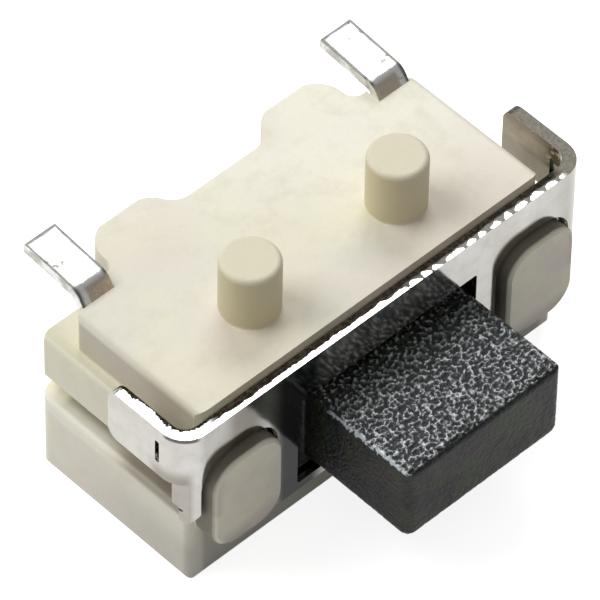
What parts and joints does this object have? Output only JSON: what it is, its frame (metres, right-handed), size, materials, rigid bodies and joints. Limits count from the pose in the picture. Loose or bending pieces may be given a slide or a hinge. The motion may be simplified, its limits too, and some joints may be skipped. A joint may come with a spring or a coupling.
{
  "type": "tactile switch",
  "caption": "Side-push surface-mount tactile switch with a rectangular button, a folded steel cover, solder terminals and locating pegs.",
  "frame": {"origin": "on the mounting plate's face, midway between the two locating pegs", "axes": "+Z out of the mounting plate, +Y away from the button, +X along the switch's width"},
  "size_m": [0.0048, 0.0036, 0.0026],
  "materials": {
    "housing": "cream moulded plastic, fine matt grain",
    "terminal": "silver-plated strip, bright",
    "dome": "stainless spring sheet",
    "film": "thin amber film",
    "button": "black moulded plastic, slightly mottled",
    "cover": "bright rolled steel sheet with sheared edges"
  },
  "bodies": {
    "switch_body": {"housing": "housing", "left_terminal": "terminal", "right_terminal": "terminal", "contact_dome": "dome", "contact_film": "film", "cover": "cover"},
    "push_button": {"button": "button"}
  },
  "joints": [
    {"name": "button_press", "type": "slide", "parent": "switch_body", "child": "push_button", "axis": [0, 1, 0], "range_m": [0, 0.0002], "stiffness_N_per_m": 6000, "deforming": ["contact_dome", "contact_film"]}
  ]
}
